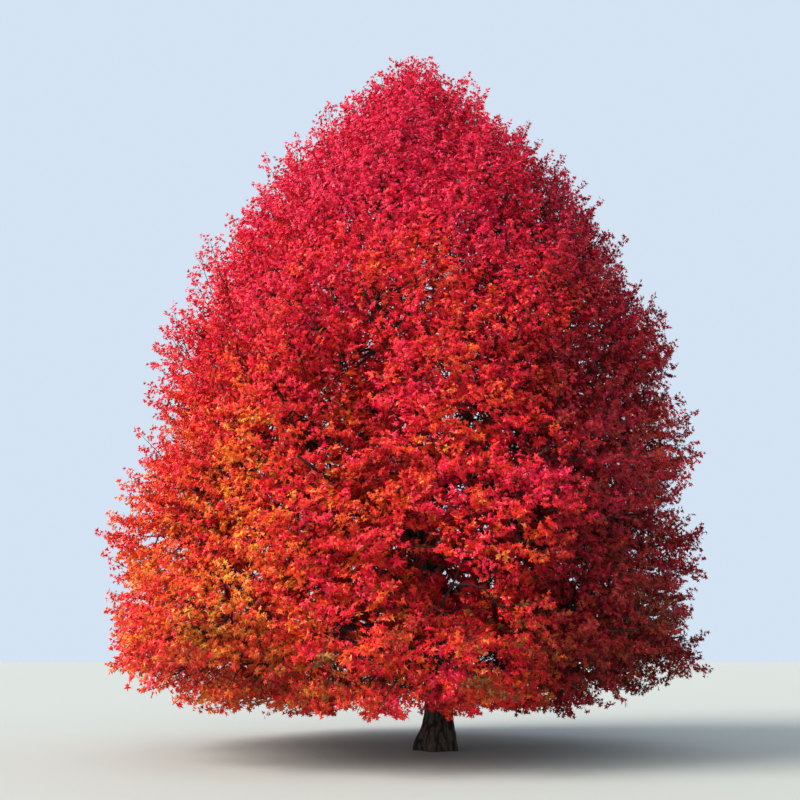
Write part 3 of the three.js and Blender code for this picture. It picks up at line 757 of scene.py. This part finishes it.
def grow_shoots(tips, ahead, outward, lengths, shares, random):
    """Shoots on both sides of each branchlet and at its tip: starts, directions, lengths and branchlets."""
    per = SHOOTS["per_branchlet"]
    scatter = scattered(random, len(tips), 3)
    level = level_at(tips[:, 2])[:, None]
    up, out, loose = (lerp(*PLATE[part], level) for part in ("up", "outward", "loose"))
    plate = unit(up * UP + out * outward + loose * scatter)
    side = unit(np.cross(plate, ahead))
    rise = np.cross(ahead, side)
    made = []
    for number in range(per):
        share = (number + 1) / per
        way = (-1, 1)[number % 2] if number < per - 1 else 0
        jitter = scattered(random, len(tips), 3)
        turn = way * SHOOTS["spread"] * (1 + SHOOTS["uneven"] * jitter[:, :1])
        even_lift = SHOOTS["lifts"][number % len(SHOOTS["lifts"])]
        lift = loose * (SHOOTS["uneven_lift"] * jitter[:, 1:2] + even_lift)
        direction = unit(ahead * np.cos(turn) + side * np.sin(turn) + rise * lift)
        along = (share - 1) * lengths[:, None] * SHOOTS["along"]
        size = shares * lerp(*SHOOTS["lengths"], share) * (1 + SHOOTS["uneven"] * jitter[:, 2])
        made.append((tips + ahead * along, direction, size, np.arange(len(tips))))
    return [np.concatenate(parts) for parts in zip(*made)]


def hues_at(points, depths, random):
    """How warm and how dark each shoot's leaves are, by the zones, places and patches. Much of the darkness
    is painted shade, and some places are lighter by painted light.
    """
    across = (points[:, 0] - CROWN_CENTRE[0]) / CROWN_RADIUS
    height = points[:, 2] / TREE_HEIGHT
    left, right = (smooth(*ZONES[zone], across) for zone in ("left", "right"))
    foot, low, lower, top = (smooth(*ZONES[zone], height) for zone in ("foot", "low", "lower", "top"))
    foot = foot * (1 - left)
    warm = WARMTH["all"] + WARMTH["top"] * top + WARMTH["low_left"] * left * low + WARMTH["foot"] * foot
    inside = smooth(*ZONES["inside"], depths)
    # The darkness on the right, deep inside the crown and at its foot is painted shade
    dark = DARKNESS_AND_PAINTED_SHADE["all"] + DARKNESS_AND_PAINTED_SHADE["right"] * right + DARKNESS_AND_PAINTED_SHADE["inside"] * inside + DARKNESS_AND_PAINTED_SHADE["foot"] * foot
    # Each place's darkness is painted shade, and painted light where it is negative
    for bearing, place, radius, warmer, painted_shading in TINT_AND_PAINTED_SHADING_PLACES:
        away = np.linalg.norm(points - crown_place(bearing, place), axis=1)
        within = smooth(radius, TINT_PLACE_CORE * radius, away)
        warm += warmer * within
        dark += painted_shading * within
    for hue, patches in ((warm, WARM_PATCHES), (dark, DARK_PATCHES)):
        for size, shift, everywhere, low_down in patches:
            hue += (everywhere + low_down * lower) * noise_at(points, size, shift)
    return np.stack([warm, dark], axis=1) + speckle("shoot", random, len(points))


def speckle(kind, random, *shape):
    """Small random shifts in how warm and how dark leaves are."""
    return np.array(TINT_SPECKLE[kind]) * scattered(random, *shape, 2)


def tints_of(hues):
    """The number of the tint for each pair of how warm and how dark it is."""
    steps = np.array((TINT_STEPS["warm"], TINT_STEPS["dark"]))
    warm, dark = np.moveaxis((np.clip(hues, 0, HIGHEST_HUE) * steps).astype(int), -1, 0)
    return dark * TINT_STEPS["warm"] + warm


def with_glints(tints, random):
    """The same tints with a few of the bright ones in the glints' ramp instead, which comes last."""
    bright = tints < GLINTS["steps"] * TINT_STEPS["warm"]
    chosen = bright & (random.random(tints.shape) < GLINTS["share"])
    glints = TINT_STEPS["dark"] * TINT_STEPS["warm"] + tints % TINT_STEPS["warm"]
    return np.where(chosen, glints, tints)


def leaf_materials():
    """A plain material for each step of the ramps, from bright to dark and each from cool to warm."""
    ramps = np.array(TINT_RAMPS)
    steps = []
    for dark in np.linspace(0, len(ramps) - 1, TINT_STEPS["dark"]):
        above = min(int(dark), len(ramps) - 2)
        steps.append(lerp(ramps[above], ramps[above + 1], dark - above))
    materials = []
    for ramp in (*steps, np.array(GLINT_RAMP)):
        for warm in np.linspace(0, len(ramp) - 1, TINT_STEPS["warm"]):
            colour = [np.interp(warm, range(len(ramp)), ramp[:, channel]) for channel in range(3)]
            materials.append(plain_material(f"leaf_{len(materials) + 1}", colour, LEAF_FINISH))
    return materials


def set_inputs(node, values):
    """Sets a node's inputs by their names."""
    for socket, value in values.items():
        node.inputs[socket].default_value = value


def plain_material(name, colour, finish):
    """A material whose base colour and other values are the same all over."""
    material = bpy.data.materials.new(name)
    material.use_nodes = True
    shader = material.node_tree.nodes["Principled BSDF"]
    set_inputs(shader, {"Base Color": (*colour, 1), **finish})
    return material


def bark_material():
    """Dark, ridged bark: nearly black furrows, greyer ridges, and fine grain that runs up the limb."""
    material = plain_material("bark", BARK_TINT, BARK_FINISH)
    tree = material.node_tree
    shader = tree.nodes["Principled BSDF"]
    place = tree.nodes.new("ShaderNodeTexCoord")
    stretch = tree.nodes.new("ShaderNodeMapping")
    stretch.inputs["Scale"].default_value = BARK_STRETCH
    tree.links.new(place.outputs["Object"], stretch.inputs["Vector"])
    grain = tree.nodes.new("ShaderNodeTexNoise")
    set_inputs(grain, BARK_GRAIN)
    tree.links.new(stretch.outputs["Vector"], grain.inputs["Vector"])
    relief = tree.nodes.new("ShaderNodeAttribute")
    relief.attribute_name = "furrow"
    ridges = tree.nodes.new("ShaderNodeMath")
    ridges.operation = "SUBTRACT"
    tree.links.new(grain.outputs["Fac"], ridges.inputs[0])
    shade = tree.nodes.new("ShaderNodeMath")
    shade.operation = "MULTIPLY"
    shade.inputs[1].default_value = BARK_HOLLOW
    tree.links.new(relief.outputs["Fac"], shade.inputs[0])
    tree.links.new(shade.outputs["Value"], ridges.inputs[1])
    colours = tree.nodes.new("ShaderNodeValToRGB")
    stops = colours.color_ramp.elements
    for position, _ in BARK_RAMP[1:-1]:
        stops.new(position)
    for number, (position, colour) in enumerate(BARK_RAMP):
        stops[number].position = position
        stops[number].color = (*colour, 1)
    tree.links.new(ridges.outputs["Value"], colours.inputs["Fac"])
    tree.links.new(colours.outputs["Color"], shader.inputs["Base Color"])
    bump = tree.nodes.new("ShaderNodeBump")
    set_inputs(bump, BARK_BUMP)
    tree.links.new(grain.outputs["Fac"], bump.inputs["Height"])
    tree.links.new(bump.outputs["Normal"], shader.inputs["Normal"])
    return material


def build_wood(paths):
    """The bark piece: trunk, boughs and their stems in one mesh with relief."""
    skins = Parts()
    points, triangles, inside = trunk_skin()
    skins.add(points, triangles, 0)
    hollows = [inside]
    for number, (path, radii, _) in enumerate(paths):
        points, triangles, inside = limb_skin(path, radii, FURROWS["per_limb"] * (number + 1))
        skins.add(points, triangles, 0)
        hollows.append(inside)
    nodes = [name for name in frame["nodes"] if not name.startswith("foliage_")]
    bark = mesh_piece("bark", *skins.joined(), [bark_material()], "bark", nodes)
    furrow = bark.data.attributes.new("furrow", "FLOAT", "POINT")
    furrow.data.foreach_set("value", np.concatenate(hollows).astype(np.float32))


def build_twigs(segments, branchlets, shoots, nodes):
    """The twigs piece: twigs, branchlets and leaf shoots in plain tints."""
    wood = Parts()
    for (starts, ends, thick, thin, bows), shape in ((segments, TWIG), (branchlets, BRANCHLETS)):
        path = bowed(starts, ends, shape["rings"], bows)
        radii = lerp(thick[:, None], thin[:, None], np.linspace(0, 1, shape["rings"])[None])
        wood.add(*tubes(path, radii, shape["sides"]), 0)
    wood.add(*cones(*shoots, SHOOTS["radius"]), 1)
    materials = [plain_material(name, colour, WOOD_FINISH) for name, colour in WOOD_TINTS]
    mesh_piece("twigs", *wood.joined(), materials, "bark", nodes)


def of_layers(key, layers):
    """Each item's value for the layer that it is in."""
    return np.array([layer[key] for layer in LAYERS])[layers]


def place_leaves(starts, directions, lengths, facings, layers, random):
    """Leaves round each shoot: the shoot of each, its number on that shoot, and how it stands.

    How it stands is its place, its direction, the way that it faces, its size and its droop."""
    fewest, most = of_layers("leaves", layers).T
    counts = random.integers(fewest, most + 1)
    shoot = np.repeat(np.arange(len(starts)), counts)
    order = np.arange(len(shoot)) - np.repeat(np.cumsum(counts) - counts, counts)
    last = counts[shoot] - 1
    share = lerp(LEAF_AIM["from"], 1.0, order / last)
    place = starts[shoot] + directions[shoot] * (share * lengths[shoot])[:, None]
    side, rise = squares_to(directions)
    turn = order * GOLDEN_TURN + random.random(len(starts))[shoot] * FULL_TURN
    around = side[shoot] * np.cos(turn)[:, None] + rise[shoot] * np.sin(turn)[:, None]
    away = np.where(order == last, LEAF_AIM["last_away"], LEAF_AIM["away"])[:, None]
    turned = of_layers("turned", layers[shoot])
    facing = unit(facings[shoot] + 2 * turned[:, None] * scattered(random, len(shoot), 3))
    ahead = LEAF_AIM["along"] * directions[shoot] + away * around - LEAF_AIM["down"] * UP
    ahead = unit(ahead - (ahead * facing).sum(axis=1, keepdims=True) * facing)
    smallest, largest = of_layers("leaf", layers[shoot]).T
    sizes = lerp(smallest, largest, random.random(len(shoot)))
    droops = lerp(*LEAF_DROOP, random.random(len(shoot)))
    return shoot, order, (place, ahead, facing, sizes, droops)


def build_leaves(shoots, hues, depths, groups, layers, random):
    """The leaves on the shoots, in pieces by the record's slots, each spray in its tint."""
    shoot, order, standing = place_leaves(*shoots, layers, random)
    sprays = order.max() // SPRAY_LEAVES + 1
    by_spray = hues[shoot] + speckle("spray", random, len(hues), sprays)[shoot, order // SPRAY_LEAVES]
    materials = leaf_materials()
    names = [f"foliage_{mass.name}" for mass in masses]
    outer = layers[shoot] == 0
    stalked = outer & (depths[shoot] < STALKED_DEPTH)
    kinds = {"outer": outer & ~stalked, "stalked": stalked, "inner": ~outer}
    for slot, nodes in leaf_slots().items():
        own = np.isin(groups[shoot], [names.index(node) for node in nodes])
        for kind, among in kinds.items():
            chosen = np.flatnonzero(own & among)
            stalk = kind == "stalked"
            faces = len(leaf_template(stalk)[1])
            pieces = math.ceil(len(chosen) * faces / PIECE_TRIANGLES)
            for number, part in enumerate(np.array_split(chosen, pieces)):
                points, triangles = leaves(*(values[part] for values in standing), stalk)
                by_face = by_spray[part][:, None] + speckle("part", random, len(part), faces)
                tints = with_glints(tints_of(by_face), random).ravel()
                name = f"{slot}_{kind}" + (f"_{number + 1}" if pieces > 1 else "")
                mesh_piece(name, points, triangles, tints, materials, slot, nodes)


def leaf_slots():
    """The record's leaf slots, each with the foliage nodes that take it."""
    slots = {}
    for part in frame["record"]["subparts"]:
        if part["node"].startswith("foliage_"):
            slots.setdefault(part["material_slot"], []).append(part["node"])
    return slots


def grow_tree():
    """The bark, then branchlets all over the crown, twigs back to the stems, shoots and their leaves."""
    random = np.random.default_rng(SEEDS["tree"])
    paths = [bough_path(mass) if mass.tier else top_path(mass) for mass in masses]
    build_wood(paths)
    placed = [place_branchlets(number, random) for number in range(len(LAYERS))]
    tips, ahead, outward, depth, layer = (np.concatenate(parts) for parts in zip(*placed))
    lengths = lerp(*BRANCHLETS["length"], random.random(len(tips)))
    bases = tips - ahead * lengths[:, None]
    owner = nearest_mass(bases)[0]
    grown = [grow_twigs(path[2], bases[owner == number]) for number, path in enumerate(paths)]
    starts, ends, reach_start, reach_end = [np.concatenate(parts) for parts in zip(*grown)]
    sway = TWIG["bow"] * (scattered(random, len(starts), 3) + TWIG["bow_up"] * UP)
    bows = sway * np.linalg.norm(ends - starts, axis=1, keepdims=True)
    thick, thin = (TWIG["tip"] + TWIG["taper"] * (1 + reach) for reach in (reach_start, reach_end))
    twigs = (starts, ends, thick, thin, bows)
    bend = BRANCHLETS["bend"] * scattered(random, len(tips), 3)
    thick, thin = (np.full(len(tips), radius) for radius in (TWIG["tip"] + TWIG["taper"], TWIG["tip"]))
    branchlets = (bases, tips, thick, thin, bend)
    shares = of_layers("shoots", layer)
    roots, directions, sizes, owners = grow_shoots(tips, ahead, outward, lengths, shares, random)
    ends = roots + directions * sizes[:, None]
    low, high = (np.array(corner) for corner in cad_box)
    in_box = (ends > low - BOX_MARGIN).all(axis=1) & (ends < high + BOX_MARGIN).all(axis=1)
    kept = in_crown(ends) & in_box
    grown = (roots, directions, sizes, owners, ends)
    roots, directions, sizes, owners, ends = (values[kept] for values in grown)
    foliage = [name for name in frame["nodes"] if name.startswith("foliage_")]
    build_twigs(twigs, branchlets, (roots, ends), foliage)
    hues = hues_at(ends, depth[owners], random)
    spray_turn = 2 * LEAF_FACING["spray"] * scattered(random, len(tips), 3)
    facing = unit(LEAF_FACING["outward"] * outward + LEAF_FACING["up"] * UP + spray_turn)
    shoots = (roots, directions, sizes, facing[owners])
    build_leaves(shoots, hues, depth[owners], owner[owners], layer[owners], random)


def add_camera():
    """The camera at the photo's viewing angle."""
    data = bpy.data.cameras.new("camera")
    data.lens = CAMERA["lens"]
    data.sensor_width = CAMERA["sensor"]
    camera = add_object("camera", data)
    camera.location = CAMERA["place"]
    camera.rotation_euler = (math.radians(90 + CAMERA["tilt"]), 0, 0)
    bpy.context.scene.camera = camera


def add_stage():
    """A plain pale floor, a pale surround and the lights."""
    scene = bpy.context.scene
    scene.view_settings.view_transform = "Standard"
    half = FLOOR["half"]
    corners = [(-half, -half, 0), (half, -half, 0), (half, half, 0), (-half, half, 0)]
    mesh = bpy.data.meshes.new("floor")
    mesh.from_pydata(corners, [], [(0, 1, 2, 3)])
    mesh.materials.append(plain_material("floor", FLOOR["colour"], FLOOR_FINISH))
    floor = add_object("floor", mesh)
    world = bpy.data.worlds.new("surround")
    world.use_nodes = True
    set_inputs(world.node_tree.nodes["Background"], SURROUND)
    scene.world = world
    for name, values in LIGHTS.items():
        add_light(name, *values)


def add_light(name, strength, width, tilt, turn):
    """A sun of a strength and an angular width, tilted from overhead and then turned, in degrees."""
    light = bpy.data.lights.new(name, "SUN")
    light.energy = strength
    light.angle = math.radians(width)
    light.color = LIGHT_COLOUR
    add_object(name, light).rotation_euler = (math.radians(tilt), 0, math.radians(turn))


add_camera()
add_stage()
grow_tree()
